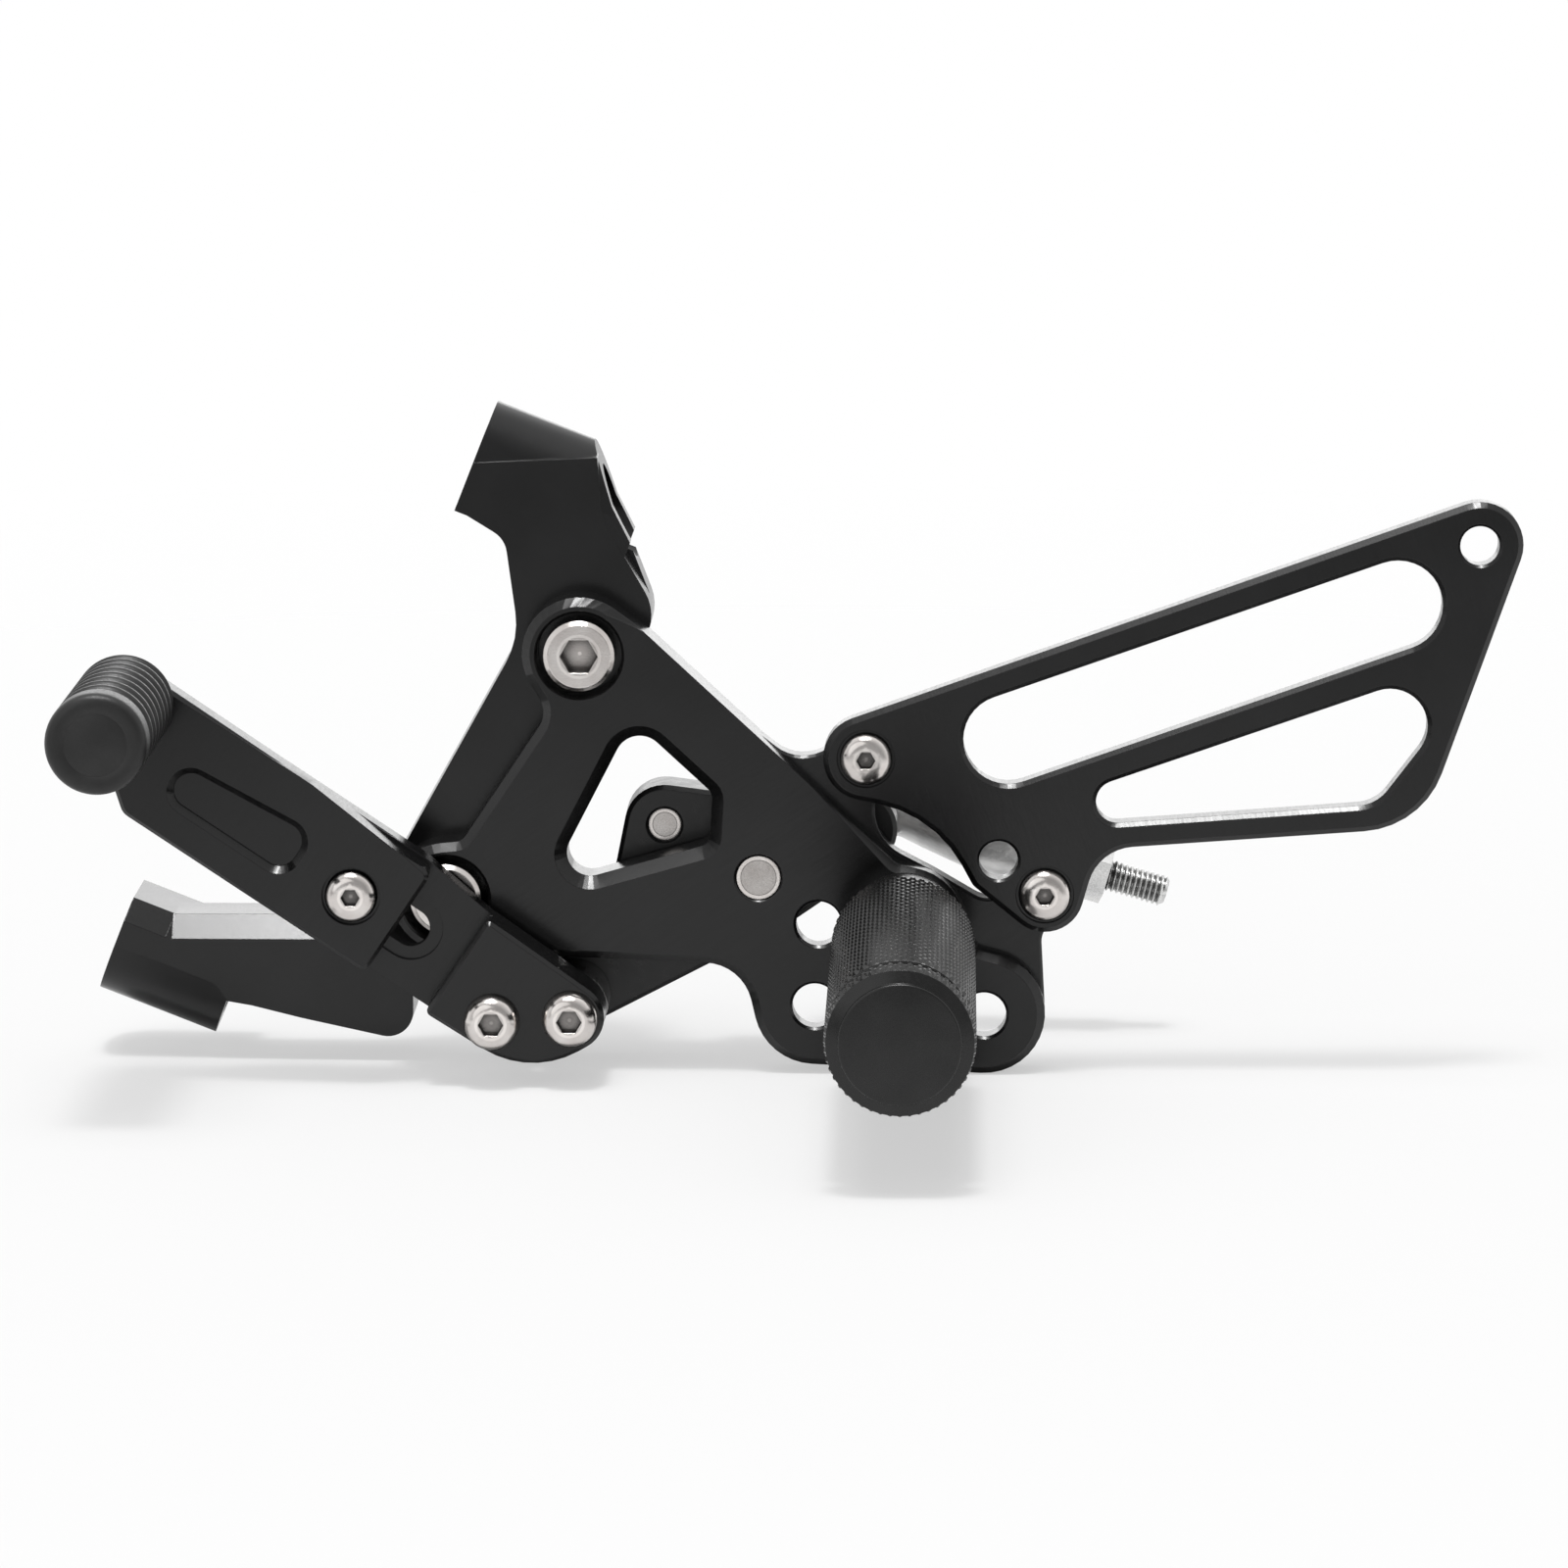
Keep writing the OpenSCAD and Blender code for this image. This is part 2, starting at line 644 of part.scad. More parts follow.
module lever_spacer(p) {
    color(STEEL) at_seat() difference() {
        bore(p, spacer_d, base_back, crank_y);
        bore(p, hole(m6), base_back - over, crank_y + over);
    }
}

module lever_spacer_front() {
    lever_spacer(screw_front);
}

module lever_spacer_rear() {
    lever_spacer(screw_rear);
}

module lever_screw(p) {
    color(STEEL) at_seat() facing(p, base_front)
        button_screw(m6, m6_head_d, m6_head_h, m6_socket, crank_back - base_front - 1);
}

module lever_screw_front() {
    lever_screw(screw_front);
}

module lever_screw_rear() {
    lever_screw(screw_rear);
}

arm_sink = 1.2;
arm_chamfer_toe = 0.7;
pocket_deep = 1.4;
toe_disc_r = 6.8;
toe_screw_sink = 2;
toe_screw_length = 18;
arm_discs = [
    [8.1, 9.9, 1.8], [1.5, 11.7, 0], [-16.8, 13.3, 0], [-toe_reach, toe_peg_v, toe_disc_r],
    [-41.6, -7.4, 3], [8.1, -8.6, 1.8]];
pocket_slope = 1.25;
pocket_r = 3.25;
pocket_discs = [[-15.6, 1.6, pocket_r], [-34.5, -0.1, pocket_r], [-15.6, -0.1, pocket_r]];

module toe_arm() {
    color(BLACK) at_seat() along_lever() difference() {
        chamfered(arm_discs, base_front, tongue_front, arm_chamfer_toe);
        opening(pocket_discs, base_front, base_front + pocket_deep, pocket_slope);
        bore([0, 0], m5_head_d + 2 * head_air, base_front - over, base_front + arm_sink);
        bore([0, 0], hole(m5), base_front - over, tongue_front + over);
        bore([-toe_reach, toe_peg_v], hole(m6), base_front - over, tongue_front + over);
        bore([-toe_reach, toe_peg_v], hole(m6_head_d), tongue_front - toe_screw_sink, tongue_front + over);
    }
}

module clamp_screw() {
    color(STEEL) at_seat() facing(clamp_at, base_front + arm_sink)
        button_screw(m5, m5_head_d, m5_head_h, m5_socket, base_t - arm_sink - nut_air);
}

module clamp_nut() {
    body_y = tongue_front + nut_air;
    color(STEEL) at_seat() difference() {
        union() {
            bore(clamp_at, 2 * (slot_r - 0.1), body_y, base_back);
            bore(clamp_at, 2 * nut_flange_r, base_back - nut_flange_t + thread_gap, base_back);
        }
        bore(clamp_at, thread_hole(m5), body_y - over, base_back + over);
    }
}

toe_peg_at = on_lever(-toe_reach, toe_peg_v);
core_d = 10;
rib_count = 8;
rib_deep = 0.9;
rib_gap = 1.6;
rib_start = 2.2;
sleeve_wall_end = 4;
sleeve_lap = 0.2;
sleeve_edge = 1.2;

module toe_peg_core() {
    color(BLACK) at_seat() difference() {
        bore(toe_peg_at, core_d, toe_peg_y - toe_peg_length + sleeve_wall_end, toe_peg_y);
        bore(toe_peg_at, thread_hole(m6), toe_peg_y - toe_screw_length, toe_peg_y + over);
    }
}

// Rubber sleeve over the core, with rings round its length and a smooth closed end
module toe_peg_rubber() {
    pitch = (toe_peg_length - 6) / rib_count;
    color(RUBBER) at_seat() difference() {
        facing(toe_peg_at, toe_peg_y - sleeve_lap) {
            cylinder(h = toe_peg_length - sleeve_edge, d = toe_peg_d);
            translate([0, 0, toe_peg_length - sleeve_edge - lap])
                cylinder(h = sleeve_edge, d1 = toe_peg_d, d2 = toe_peg_d - 2 * sleeve_edge);
        }
        bore(toe_peg_at, core_d, toe_peg_y - toe_peg_length + sleeve_wall_end, toe_peg_y + over);
        for (i = [0:rib_count - 1])
            translate([0, toe_peg_y - rib_start - i * pitch, 0]) difference() {
                bore(toe_peg_at, toe_peg_d + 2, -rib_gap, 0);
                bore(toe_peg_at, toe_peg_d - 2 * rib_deep, -rib_gap - over, over);
            }
    }
}

module toe_peg_screw() {
    length = toe_arm_t - toe_screw_sink + toe_screw_length - 1;
    color(STEEL) at_seat() translate([toe_peg_at[0], tongue_front - toe_screw_sink, toe_peg_at[1]])
        rotate([-90, 0, 0]) button_screw(m6, m6_head_d, toe_screw_sink - 0.1, m6_socket, length);
}

screw_sunk = 0.9;
link_spacer_d = 11;

// Link side: spare screw, spacer, ball, bolt and the rod end
module spare_link_screw() {
    color(STEEL) at_seat() bore(link_l, m6, crank_y + screw_sunk, crank_back);
}

module link_spacer() {
    color(STEEL) at_seat() difference() {
        bore(link_b, link_spacer_d, crank_back, crank_back + link_spacer_length);
        bore(link_b, hole(m6), crank_back - over, crank_back + link_spacer_length + over);
    }
}

module rod_end_ball() {
    cap = asin(ball_w / ball_d);
    bore_r = m6 / 2 + screw_air;
    color(STEEL) at_seat() facing(link_b, ball_y) rotate_extrude() polygon(concat(
        [[bore_r, -ball_w / 2]],
        [for (k = [0:16]) let (a = cap * (k / 8 - 1)) ball_d / 2 * [cos(a), sin(a)]],
        [[bore_r, ball_w / 2]]));
}

module rod_end_washer() {
    y = ball_y + ball_w / 2;
    color(STEEL) at_seat() difference() {
        bore(link_b, m6_washer_d, y, y + m6_washer_t);
        bore(link_b, hole(m6), y - over, y + m6_washer_t + over);
    }
}

module rod_end_bolt() {
    y = ball_y + ball_w / 2 + m6_washer_t;
    color(STEEL) at_seat() translate([link_b[0], y, link_b[1]]) rotate([-90, 0, 0])
        cap_screw(m6, m6_cap_d, m6_cap_h, 5, y - crank_y - screw_sunk);
}

module along_link() {
    translate([link_b[0], ball_y, link_b[1]]) rotate([0, 90 + link_droop, 0]) children();
}

jam_nut_t = 5;
jam_gap = 0.6;
eye_w = 6.8;

module rod_end_body() {
    color(ZINC) at_seat() difference() {
        union() {
            bore(link_b, eye_d, ball_y - eye_w / 2, ball_y + eye_w / 2);
            along_link() rotate_extrude() polygon([
                [0, 7], [4, 7], [4.1, 9.5], [5, 14.5], [6.5, 0.56 * rod_end_length],
                [4.6, rod_end_length], [0, rod_end_length]]);
        }
        translate([link_b[0], ball_y, link_b[1]]) sphere(d = ball_d + 2 * running_gap);
        along_link() translate([0, 0, 0.45 * rod_end_length])
            cylinder(h = rod_end_length, d = thread_hole(m6));
    }
}

module rod_end_jam_nut() {
    color(STEEL) at_seat() along_link() difference() {
        translate([0, 0, rod_end_length]) cylinder(h = jam_nut_t, d = m6_nut_af / cos(30), $fn = 6);
        translate([0, 0, rod_end_length - over])
            cylinder(h = jam_nut_t + 2 * over, d = thread_hole(m6));
    }
}

module rod_end_stud() {
    nut_end = rod_end_length + jam_nut_t + jam_gap;
    color(STEEL) at_seat() along_link() {
        translate([0, 0, 0.6 * rod_end_length])
            cylinder(h = nut_end - 0.6 * rod_end_length + lap, d = m6 - 2 * screw_air);
        translate([0, 0, nut_end]) cylinder(h = stud_free, d = m6);
    }
}

main_plate();
frame_bracket();
bracket_bolt_upper();
bracket_bolt_lower();
heel_guard();
guard_screw_upper();
guard_screw_lower();
peg_body();
peg_end_cap();
peg_collar();
peg_bolt();
shift_crank();
pivot_bolt();
pivot_bush();
pivot_washer_outer();
pivot_washer_inner();
lever_base();
lever_spacer_front();
lever_spacer_rear();
lever_screw_front();
lever_screw_rear();
toe_arm();
clamp_screw();
clamp_nut();
toe_peg_core();
toe_peg_rubber();
toe_peg_screw();
spare_link_screw();
link_spacer();
rod_end_ball();
rod_end_bolt();
rod_end_washer();
rod_end_body();
rod_end_jam_nut();
rod_end_stud();
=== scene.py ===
"""Looks of a left-hand rearset: finishes, knurled peg, ribbed toe peg, threads, studio and camera."""

import json
import math

import bpy
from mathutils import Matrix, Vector

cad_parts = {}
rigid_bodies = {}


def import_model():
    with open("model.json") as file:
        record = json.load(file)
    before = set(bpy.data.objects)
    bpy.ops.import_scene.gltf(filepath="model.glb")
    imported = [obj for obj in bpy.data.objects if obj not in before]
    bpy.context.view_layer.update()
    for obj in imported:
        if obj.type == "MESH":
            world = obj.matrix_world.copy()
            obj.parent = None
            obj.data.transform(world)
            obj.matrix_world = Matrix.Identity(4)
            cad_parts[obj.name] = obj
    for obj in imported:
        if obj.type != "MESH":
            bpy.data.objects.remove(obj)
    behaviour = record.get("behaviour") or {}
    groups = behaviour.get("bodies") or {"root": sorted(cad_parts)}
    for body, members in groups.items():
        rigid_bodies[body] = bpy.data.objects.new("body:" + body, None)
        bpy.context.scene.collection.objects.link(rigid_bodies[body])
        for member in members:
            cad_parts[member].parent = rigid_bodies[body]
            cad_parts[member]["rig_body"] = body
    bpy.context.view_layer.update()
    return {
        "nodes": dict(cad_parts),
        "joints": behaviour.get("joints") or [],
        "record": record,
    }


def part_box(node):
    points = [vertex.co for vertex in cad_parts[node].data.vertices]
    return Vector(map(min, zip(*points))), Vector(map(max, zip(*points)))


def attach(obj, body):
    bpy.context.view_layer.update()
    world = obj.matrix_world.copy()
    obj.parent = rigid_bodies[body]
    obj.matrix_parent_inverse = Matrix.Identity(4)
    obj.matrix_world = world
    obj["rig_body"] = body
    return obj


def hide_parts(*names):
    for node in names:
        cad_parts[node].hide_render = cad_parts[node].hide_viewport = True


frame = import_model()
nodes = frame["nodes"]
mounts = {m["name"]: m for m in frame["record"]["mounts"]}
joints = {j["name"]: j for j in frame["joints"]}
scene = bpy.context.scene
MM = 0.001
MICRON = 0.000001
QUARTER = math.pi / 2


# Node materials

class Graph:
    """A node tree with short ways to add nodes to it."""

    def __init__(self, tree):
        self.tree = tree

    def fill(self, socket, value):
        """Links a value that is another node's output, and sets any other."""
        if isinstance(value, bpy.types.NodeSocket):
            self.tree.links.new(value, socket)
        else:
            socket.default_value = value

    def add(self, kind, *values, props=None, **sockets):
        """A node with its properties, then its first inputs in order and others by name."""
        node = self.tree.nodes.new(kind)
        for key, value in (props or {}).items():
            setattr(node, key, value)
        for socket, value in zip(node.inputs, values):
            self.fill(socket, value)
        for key, value in sockets.items():
            self.fill(node.inputs[key.replace("_", " ")], value)
        return node

    def number(self, operation, a, b):
        return self.add("ShaderNodeMath", a, b, props={"operation": operation}).outputs[0]

    def vector(self, operation, *values, **sockets):
        return self.add("ShaderNodeVectorMath", *values, props={"operation": operation}, **sockets)

    def mix(self, share, first, second):
        return self.add("ShaderNodeMixShader", share, first, second).outputs[0]

    def span(self, value, low, high, start=0.3, end=0.7):
        """A number that goes from low to high as value goes from start to end."""
        return self.add("ShaderNodeMapRange", Value=value, From_Min=start, From_Max=end, To_Min=low,
                        To_Max=high).outputs["Result"]


class Finish(Graph):
    """A node material on the object's own coordinates, in metres."""

    def __init__(self, name):
        self.mat = bpy.data.materials.new(name)
        self.mat.use_nodes = True
        super().__init__(self.mat.node_tree)
        self.shader = self.tree.nodes["Principled BSDF"]
        self.place = self.add("ShaderNodeTexCoord").outputs["Object"]

    def noise(self, size, detail=3.0, stretch=(1, 1, 1), turn=0, rough=0.5):
        """Noise with blotches of size mm, longer where stretch is over 1, turned about y in degrees."""
        turned = self.add("ShaderNodeVectorRotate", props={"rotation_type": "EULER_XYZ"},
                          Vector=self.place, Rotation=(0, math.radians(turn), 0))
        scale = [1 / (size * MM * s) for s in stretch]
        mapped = self.vector("MULTIPLY", turned.outputs[0], scale)
        return self.add("ShaderNodeTexNoise", Vector=mapped.outputs[0], Scale=1.0, Detail=detail,
                        Roughness=rough).outputs["Fac"]

    def blend(self, value, low, high):
        """A colour that goes from low to high over the middle of value's range."""
        ramp = self.add("ShaderNodeValToRGB", Fac=value)
        for stop, position, colour in zip(ramp.color_ramp.elements, (0.3, 0.7), (low, high)):
            stop.position = position
            stop.color = (*colour, 1)
        return ramp.outputs["Color"]

    def mingle(self, a, b, share):
        """Value a with a share of value b."""
        return self.add("ShaderNodeMapRange", Value=share, To_Min=a, To_Max=b).outputs["Result"]

    def relief(self, height, depth, round_mm=0.2):
        """Bump of that depth in microns over edges that look rounded by round_mm."""
        edge = self.add("ShaderNodeBevel", props={"samples": 4}, Radius=round_mm * MM)
        bump = self.add("ShaderNodeBump", Height=height, Distance=depth * MICRON, Strength=1.0,
                        Normal=edge.outputs["Normal"])
        self.fill(self.shader.inputs["Normal"], bump.outputs["Normal"])

    def rings(self, centre, stops, reach=8):
        """Painted shade and highlight by distance from the line along y through centre; stops are
        (radius in mm, shade).
        """
        off = self.vector("SUBTRACT", self.place, centre)
        across = self.vector("MULTIPLY", off.outputs[0], (1, 0, 1))
        far = self.vector("LENGTH", across.outputs[0]).outputs["Value"]
        ramp = self.add("ShaderNodeValToRGB", Fac=self.span(far, 0, 1, 0, reach * MM))
        elements = ramp.color_ramp.elements
        elements[0].color = (*grey(stops[0][1]), 1)
        elements[1].color = (*grey(stops[-1][1]), 1)
        for radius, shade in stops[1:]:
            elements.new(radius / reach).color = (*grey(shade), 1)
        return ramp.outputs["Color"]

    def set(self, **sockets):
        for key, value in sockets.items():
            self.fill(self.shader.inputs[key.replace("_", " ")], value)


def grey(v):
    return (v, v, v)


def anodised(name, grain, stretch, turn, base, rough, depth):
    """Satin black alloy with the faint lines of the cutter; the lighter base has a blue cast."""
    f = Finish(name)
    lines = f.noise(grain, 4, stretch, turn)
    blotch = f.noise(14)
    dark, light = base
    f.set(Base_Color=f.blend(blotch, grey(dark), (light, light, light * 1.04)), Metallic=0.0,
          IOR=1.45, Roughness=f.span(f.mingle(lines, blotch, 0.35), *rough))
    f.relief(lines, depth)
    return f.mat


# Grain in mm with its stretch and turn, base from dark to light, roughness, relief in microns
plate_black = anodised("anodised_plate", 0.5, (14, 3, 1), 34, (0.004, 0.008), (0.17, 0.25), 4)
bracket_black = anodised("anodised_bracket", 0.3, (16, 2, 1), -52, (0.004, 0.009), (0.18, 0.24), 0.8)
guard_black = anodised("anodised_guard", 0.4, (1, 10, 10), 20, (0.003, 0.007), (0.18, 0.28), 6)
lever_black = anodised("anodised_lever", 0.5, (1, 8, 12), -34, (0.004, 0.007), (0.17, 0.26), 4)
crank_black = anodised("anodised_crank", 0.6, (4, 4, 4), 0, (0.005, 0.010), (0.24, 0.36), 10)


def moulded(name, grain, blotch, base, rough, depth, round_mm, ior):
    """A black with a fine even skin; grain and blotch are what noise() takes."""
    f = Finish(name)
    skin = f.noise(**grain)
    f.set(Base_Color=f.blend(f.noise(**blotch), *map(grey, base)), IOR=ior,
          Roughness=f.span(skin, *rough))
    f.relief(skin, depth, round_mm)
    return f.mat


peg_black = moulded("anodised_knurl", {"size": 0.6, "detail": 4}, {"size": 6}, (0.004, 0.009),
                    (0.20, 0.32), 10, 0.1, 1.45)
rubber = moulded("moulded_rubber", {"size": 0.5, "detail": 5, "rough": 0.65},
                 {"size": 5, "detail": 4}, (0.006, 0.013), (0.32, 0.5), 30, 0.2, 1.5)


def metal(name, low, high, rough, grain, stretch, depth, round_mm=0.15, painted_rings=None):
    """Bare metal with painted shade that darkens it in corners and recesses; the last argument gives
    the centre and stops of its painted rings of shade and highlight.
    """
    f = Finish(name)
    lines = f.noise(grain, 4, stretch)
    # Painted shade: ambient occlusion darkens the base colour in corners, recesses and sockets.
    painted_shade_ao = f.add("ShaderNodeAmbientOcclusion", props={"samples": 8}, Distance=3 * MM)
    shade = f.span(painted_shade_ao.outputs["AO"], 0.10, 1.0, 0.40, 0.85)
    # Painted rings of shade and highlight round a screw's axis scale the colour further.
    if painted_rings:
        shade = f.number("MULTIPLY", shade, f.rings(*painted_rings))
    shaded_base = f.vector("SCALE", f.blend(f.noise(4), low, high), Scale=shade)
    f.set(Base_Color=shaded_base.outputs[0], Metallic=1.0, Roughness=f.span(lines, *rough))
    f.relief(lines, depth, round_mm)
    return f.mat


def plain_metal(name, low, high, rough, grain, depth):
    return metal(name, low, high, rough, grain, (1, 1, 1), depth)


stainless = metal("stainless_steel", (0.70, 0.65, 0.62), (0.86, 0.82, 0.79), (0.12, 0.22), 0.3,
                  (1, 7, 1), 4, 0.3)
turned = metal("turned_spacer", (0.66, 0.65, 0.64), (0.80, 0.79, 0.78), (0.14, 0.24), 0.35,
               (12, 1, 12), 6)
zinc = plain_metal("zinc_cast", (0.62, 0.62, 0.62), (0.84, 0.84, 0.83), (0.30, 0.46), 0.5, 50)
zinc_bright = plain_metal("zinc_plated", (0.66, 0.66, 0.66), (0.82, 0.82, 0.81), (0.22, 0.36), 0.4, 10)
bronze = plain_metal("sintered_bronze", (0.42, 0.28, 0.13), (0.58, 0.41, 0.20), (0.3, 0.45), 0.25, 10)


def screw(node, stops, rough=(0.12, 0.22)):
    """Stainless steel for a screw along y, with painted rings of shade and highlight round its socket
    or on its cut end.
    """
    points = [v.co for v in nodes[node].data.vertices]
    centre = [(min(p[i] for p in points) + max(p[i] for p in points)) / 2 for i in range(3)]
    # The base is lighter than plain stainless so that the painted bright rings show above the painted
    # darker rest.
    return metal("steel_" + node, (0.78, 0.73, 0.70), (0.94, 0.90, 0.87), rough, 0.3, (1, 7, 1), 4,
                 0.3, (centre, stops))


def thread_end(r):
    """Painted rings on a cut end: a face darkened to 0.58, inside a thin painted dark line and a
    painted bright rim where its chamfer would catch the light.
    """
    face, line, bright = 0.58, 0.22, 0.94
    return [(0, face), (r - 0.85, face), (r - 0.78, line), (r - 0.72, line), (r - 0.64, bright)]


def socket(corner):
    """Painted rings round a socket: a painted bright drilled point, painted shade on the hexagon's
    floor and wall, a painted bright ring round its corners, and a painted darker dome.
    """
    point, floor, wall, dome = 1.0, 0.62, 0.7, 0.8
    return [(0, point), (0.28, point), (0.4, floor), (corner, wall), (corner + 0.08, 1.0),
            (corner + 0.5, 1.0), (corner + 0.62, dome)]


# The radius in mm to the corners of a 3, a 4 and a 6 mm socket, a little over their own
SOCKETS = {
    1.8: ("guard_screw_upper", "guard_screw_lower", "clamp_screw"),
    2.36: ("lever_screw_front", "lever_screw_rear"),
    3.5: ("bracket_bolt_upper", "bracket_bolt_lower")}
SAWN = (0.2, 0.34)

FINISH = {
    "main_plate": plate_black, "frame_bracket": bracket_black, "heel_guard": guard_black,
    "shift_crank": crank_black, "lever_base": lever_black, "toe_arm": lever_black,
    "peg_collar": peg_black, "peg_body": peg_black, "peg_end_cap": peg_black,
    "toe_peg_core": peg_black, "toe_peg_rubber": rubber, "pivot_bush": bronze,
    "rod_end_body": zinc, "rod_end_jam_nut": zinc_bright, "rod_end_stud": zinc_bright,
    "lever_spacer_front": turned, "lever_spacer_rear": turned, "link_spacer": turned,
    "rod_end_ball": turned, "pivot_bolt": screw("pivot_bolt", thread_end(4), SAWN),
    "spare_link_screw": screw("spare_link_screw", thread_end(3), SAWN)}
FINISH |= {name: screw(name, socket(corner)) for corner, names in SOCKETS.items() for name in names}

for name, node in nodes.items():
    node.data.materials.clear()
    node.data.materials.append(FINISH.get(name, stainless))
    node.data.shade_smooth()
    weld = node.modifiers.new("weld", "WELD")
    weld.merge_threshold = 2 * MICRON
    split = node.modifiers.new("split", "EDGE_SPLIT")
    split.split_angle = math.radians(28)
    weigh = node.modifiers.new("weigh", "WEIGHTED_NORMAL")
    weigh.weight = 90


# Pieces in mesh code

def stand_in(name, mesh, node):
    """An object that stands for one CAD node and moves with its body."""
    obj = bpy.data.objects.new(name, mesh)
    scene.collection.objects.link(obj)
    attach(obj, nodes[node]["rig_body"])
    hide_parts(node)
    return obj


def ring_faces(first, second, count):
    return [(first + i, first + (i + 1) % count, second + (i + 1) % count, second + i)
            for i in range(count)]


class Lathe:
    """Rings of points round an axis, closed at both ends, in metres."""

    def __init__(self, start, along, count):
        self.start, self.along = Vector(start), Vector(along).normalized()
        self.side = self.along.orthogonal().normalized()
        self.up = self.along.cross(self.side)
        self.count = count
        self.points, self.faces, self.last = [], [], None

    def at(self, angle, r, t):
        """The point at that angle and radius, t along the axis."""
        out = self.side * math.cos(angle) + self.up * math.sin(angle)
        return self.start + self.along * t + out * r

    def loop(self, points):
        """Joins the last ring to a new one."""
        first = len(self.points)
        self.points += points
        if self.last is None:
            self.faces.append(tuple(reversed(range(first, first + self.count))))
        else:
            self.faces += ring_faces(self.last, first, self.count)
        self.last = first

    def ring(self, r, t):
        step = 2 * math.pi / self.count
        self.loop([self.at(i * step, r, t) for i in range(self.count)])

    def knurl(self, r, t0, t1):
        """Raised diamonds with small flat tops between crossing grooves, from t0 to t1."""
        n = self.count
        rows = 2 * max(1, round((t1 - t0) / KNURL_LENGTH))
        rise = (t1 - t0) / rows
        step = 2 * math.pi / n
        first = len(self.points)
        for j in range(rows + 1):
            self.points += [self.at((i + (j % 2) / 2) * step, r - KNURL_DEPTH, t0 + j * rise)
                            for i in range(n)]
        self.faces += ring_faces(self.last, first, n)

        def corner(i, j):
            return first + j * n + i % n

        for j in range(rows + 1):
            shift = j % 2
            for i in range(n):
                left, right = corner(i, j), corner(i + 1, j)
                up, down = corner(i + shift, j + 1), corner(i + shift, j - 1)
                if j == rows:
                    self.faces.append((down, right, left))
                elif j == 0:
                    self.faces.append((left, right, up))
                else:
                    self.diamond((left, down, right, up), (i + 0.5 + shift / 2) * step, r,
                                 t0 + j * rise, KNURL_FLAT * step / 2, KNURL_FLAT * rise)
        self.last = first + rows * n

    def diamond(self, corners, angle, r, t, wide, long):
        """Four sloped sides from the corners up to a flat top at radius r."""
        base = len(self.points)
        for turn, shift in ((-wide, 0), (0, -long), (wide, 0), (0, long)):
            self.points.append(self.at(angle + turn, r, t + shift))
        for k in range(4):
            m = (k + 1) % 4
            self.faces.append((corners[k], corners[m], base + m, base + k))
        self.faces.append((base, base + 1, base + 2, base + 3))

    def piece(self, name, node, finish, sharp):
        """Closes the end and makes the piece, with edges over sharp degrees left sharp."""
        self.faces.append(tuple(range(self.last, self.last + self.count)))
        mesh = bpy.data.meshes.new(name)
        mesh.from_pydata([tuple(p) for p in self.points], [], self.faces)
        mesh.validate()
        mesh.shade_smooth()
        mesh.set_sharp_from_angle(angle=math.radians(sharp))
        mesh.materials.append(finish)
        return stand_in(name, mesh, node)


TOWARDS_BOOT = (0, -1, 0)
HUB = 0.2 * MM
KNURL_LENGTH = 3.2 * MM
KNURL_DEPTH = 0.5 * MM
KNURL_FLAT = 0.40
KNURL_COUNT = 48
KNURL_SHARP = 20


def knurled_peg():
    low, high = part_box("peg_body")
    middle = (low + high) / 2
    r = (high.x - low.x) / 2
    length = high.y - low.y
    bar = Lathe((middle.x, high.y, middle.z), TOWARDS_BOOT, KNURL_COUNT)
    bar.ring(HUB, 0)
    bar.ring(r - 1.2 * MM, 0)
    bar.ring(r - 0.6 * MM, 0.7 * MM)
    bar.knurl(r, 0.9 * MM, length - 0.6 * MM)
    bar.ring(r - 1.6 * MM, length)
    bar.ring(HUB, length)
    bar.piece("knurled_peg", "peg_body", peg_black, KNURL_SHARP)
    return r, low.y


def knurled_cap(r, back):
    """The cap starts with a dark groove and ends with a bevel round a raised face."""
    low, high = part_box("peg_end_cap")
    middle = (low + high) / 2
    length = back - low.y
    groove_floor, groove_end = r - 2.4 * MM, 2.2 * MM
    bevel_end = length - 0.8 * MM
    rim = bevel_end - 1.1 * MM
    round_r, round_steps = 0.4 * MM, 5
    face_r = r - 2.45 * MM
    bar = Lathe((middle.x, back, middle.z), TOWARDS_BOOT, KNURL_COUNT)
    bar.ring(HUB, 0)
    bar.ring(groove_floor, 0)
    bar.ring(groove_floor, groove_end)
    bar.knurl(r, groove_end + 0.2 * MM, rim)
    bar.ring(r - 0.35 * MM, rim + 0.05 * MM)
    bar.ring(r - 2.4 * MM, bevel_end)
    for k in range(round_steps + 1):
        a = QUARTER * k / round_steps
        bar.ring(face_r - round_r * (1 - math.cos(a)), length - round_r * (1 - math.sin(a)))
    bar.ring(HUB, length)
    bar.piece("knurled_end_cap", "peg_end_cap", peg_black, KNURL_SHARP)


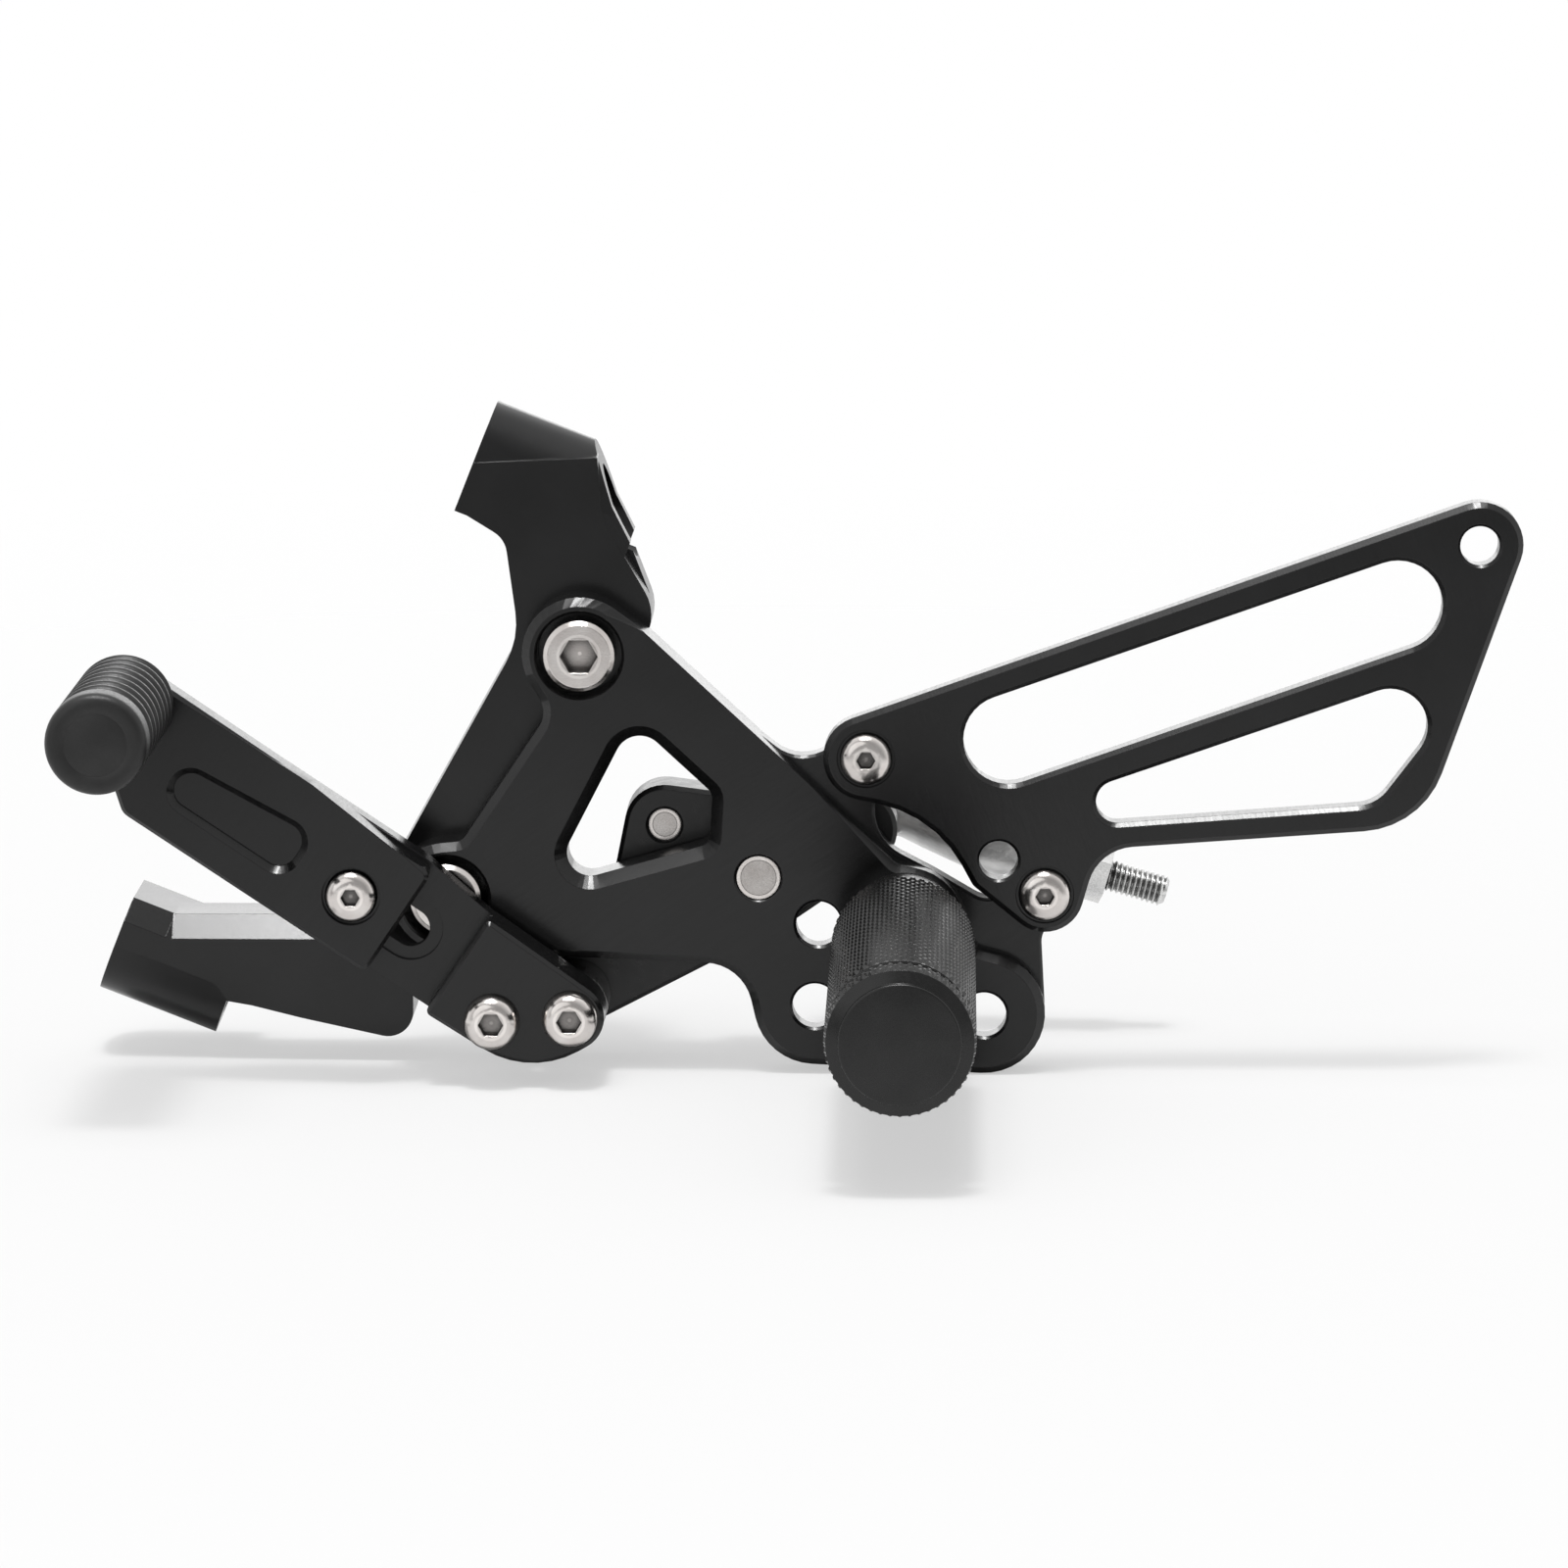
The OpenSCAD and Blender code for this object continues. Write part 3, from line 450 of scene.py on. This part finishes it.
def ribbed_rubber():
    low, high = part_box("toe_peg_rubber")
    middle = (low + high) / 2
    r = (high.x - low.x) / 2
    length = high.y - low.y
    ribs, steps, deepest, fullness, wide = 8, 12, 1.2 * MM, 0.85, 0.8
    first_groove = 2.8 * MM
    pitch = (length - 6 * MM) / ribs
    end_r, end_steps = 1.7 * MM, 8
    bar = Lathe((middle.x, high.y, middle.z), TOWARDS_BOOT, 96)
    bar.ring(HUB, 0)
    bar.ring(r - 0.5 * MM, 0)
    bar.ring(r, 0.5 * MM)
    for i in range(ribs):
        for k in range(steps + 1):
            share = k / steps
            deep = deepest * math.sin(math.pi * share) ** fullness
            bar.ring(r - deep, first_groove + i * pitch + (share - 0.5) * wide * pitch)
    for k in range(end_steps + 1):
        a = QUARTER * k / end_steps
        bar.ring(r - end_r * (1 - math.cos(a)), length - end_r * (1 - math.sin(a)))
    # A shallow moulded circle in the end's face
    for share, sunk in ((0.64, 0), (0.62, 0.12), (0.59, 0.02)):
        bar.ring(r * share, length - sunk * MM)
    bar.piece("ribbed_toe_rubber", "toe_peg_rubber", rubber, 50)


def threaded_stud(r, pitch):
    """A round bar whose radius follows its thread's helix, over the length of the CAD stud."""
    ball = Vector(joints["rod_end_swivel"]["pos_m"])
    along = Vector(mounts["link_rod_stud"]["axis"]).normalized()
    reach = [(v.co - ball).dot(along) for v in nodes["rod_end_stud"].data.vertices]
    start, length = min(reach), max(reach) - min(reach)
    count, per_turn, lead = 40, 8, 0.6 * pitch
    crest, flank, deepest = 0.12, 0.78, 0.58 * pitch
    end_r = r - 0.75 * pitch
    bar = Lathe(ball + along * start, along, count)
    bar.ring(end_r, 0)
    total = max(8, round((length - 2 * lead) / pitch * per_turn))
    for k in range(total + 1):
        t = lead + (length - 2 * lead) * k / total
        points = []
        for i in range(count):
            wave = abs(2 * ((t / pitch - i / count) % 1.0) - 1)
            deep = deepest * min(1.0, max(0.0, (wave - crest) / flank))
            points.append(bar.at(i * 2 * math.pi / count, r - deep, t))
        bar.loop(points)
    bar.ring(end_r, length)
    bar.piece("threaded_stud", "rod_end_stud", zinc_bright, 60)


def cast_rod_end():
    """The CAD form with its edges run together, as cast."""
    cast = stand_in("cast_rod_end", nodes["rod_end_body"].data.copy(), "rod_end_body")
    remesh = cast.modifiers.new("remesh", "REMESH")
    remesh.mode = "VOXEL"
    remesh.voxel_size = 0.32 * MM
    remesh.use_smooth_shade = True
    soften = cast.modifiers.new("soften", "SMOOTH")
    soften.factor = 0.5
    soften.iterations = 5


knurled_cap(*knurled_peg())
ribbed_rubber()
threaded_stud(3 * MM, 1 * MM)
cast_rod_end()


# Studio

FLOOR_AT = (0.06, 0, -111.8 * MM)
FLOOR_HALF = 4.0
FLOOR_GLOW = 0.5
FADE_FROM, FADE_TO = 0.22, 0.8


def make_floor():
    """A pale floor that keeps the shadow and fades out round the part."""
    s = FLOOR_HALF
    mesh = bpy.data.meshes.new("floor")
    mesh.from_pydata([(-s, -s, 0), (s, -s, 0), (s, s, 0), (-s, s, 0)], [], [(0, 1, 2, 3)])
    floor = bpy.data.objects.new("floor", mesh)
    floor.location = FLOOR_AT
    scene.collection.objects.link(floor)
    pale = Finish("pale_floor")
    pale.set(Base_Color=(0.90, 0.90, 0.90, 1), Roughness=0.9, Specular_IOR_Level=0.0)
    glow = pale.add("ShaderNodeEmission", Color=(1, 1, 1, 1), Strength=1.0)
    clear = pale.add("ShaderNodeBsdfTransparent")
    seen = pale.add("ShaderNodeLightPath").outputs["Is Camera Ray"]
    lifted = pale.mix(pale.number("MULTIPLY", seen, FLOOR_GLOW), pale.shader.outputs[0],
                      glow.outputs[0])
    far = pale.vector("LENGTH", pale.place).outputs["Value"]
    faded = pale.mix(pale.span(far, 0.0, 1.0, FADE_FROM, FADE_TO), lifted, clear.outputs[0])
    pale.fill(pale.tree.nodes["Material Output"].inputs["Surface"], faded)
    mesh.materials.append(pale.mat)


ROOM_LIGHT = 0.4
FRONT_DIM = 0.40
DIM_FROM, DIM_TO = -0.75, 0.05


def make_world():
    """A dim room for the light, and white behind the part for the camera, glass and metal."""
    world = bpy.data.worlds.new("studio")
    scene.world = world
    world.use_nodes = True
    sky = Graph(world.node_tree)
    backdrop = sky.tree.nodes["Background"]
    backdrop.inputs["Color"].default_value = (1, 1, 1, 1)
    room = sky.add("ShaderNodeBackground", Color=(1, 1, 1, 1), Strength=ROOM_LIGHT)
    path = sky.add("ShaderNodeLightPath").outputs
    seen = sky.number("MAXIMUM", path["Is Camera Ray"], path["Is Transmission Ray"])
    shown = sky.number("MAXIMUM", seen, path["Is Glossy Ray"])
    mixed = sky.mix(shown, room.outputs[0], backdrop.outputs[0])
    sky.fill(sky.tree.nodes["World Output"].inputs["Surface"], mixed)
    # Metal sees white behind the part, and a dimmer room on the boot's side
    direction = sky.add("ShaderNodeTexCoord").outputs["Generated"]
    back = sky.add("ShaderNodeSeparateXYZ", direction).outputs["Y"]
    dim = sky.span(back, FRONT_DIM, 1.0, DIM_FROM, DIM_TO)
    sky.fill(backdrop.inputs["Strength"], sky.number("MAXIMUM", dim, seen))


def sun(name, strength, angle, towards):
    lamp = bpy.data.lights.new(name, "SUN")
    lamp.energy = strength
    lamp.angle = math.radians(angle)
    obj = bpy.data.objects.new(name, lamp)
    obj.rotation_euler = Vector(towards).to_track_quat("-Z", "Y").to_euler()
    scene.collection.objects.link(obj)


CAMERA_AT = (0.08681, -1.30015, 0.16800)
CAMERA_AIM = (-0.02303, 0.98454, -0.17365)
CAMERA_LENS = 163.8


def make_camera():
    lens = bpy.data.cameras.new("camera")
    lens.lens = CAMERA_LENS
    lens.sensor_width = 36
    lens.clip_start = 0.05
    camera = bpy.data.objects.new("camera", lens)
    camera.location = CAMERA_AT
    camera.rotation_euler = Vector(CAMERA_AIM).to_track_quat("-Z", "Y").to_euler()
    scene.collection.objects.link(camera)
    scene.camera = camera


make_floor()
make_world()
sun("top_soft", 1.0, 32, (0.06, 0.16, -1))
sun("top_key", 0.95, 9, (0.02, 0.17, -1))
sun("rim_light", 0.2, 26, (0.0, -1, -0.14))
sun("front_fill", 0.4, 50, (0.5, 0.9, -0.45))
make_camera()
scene.view_settings.view_transform = "Standard"
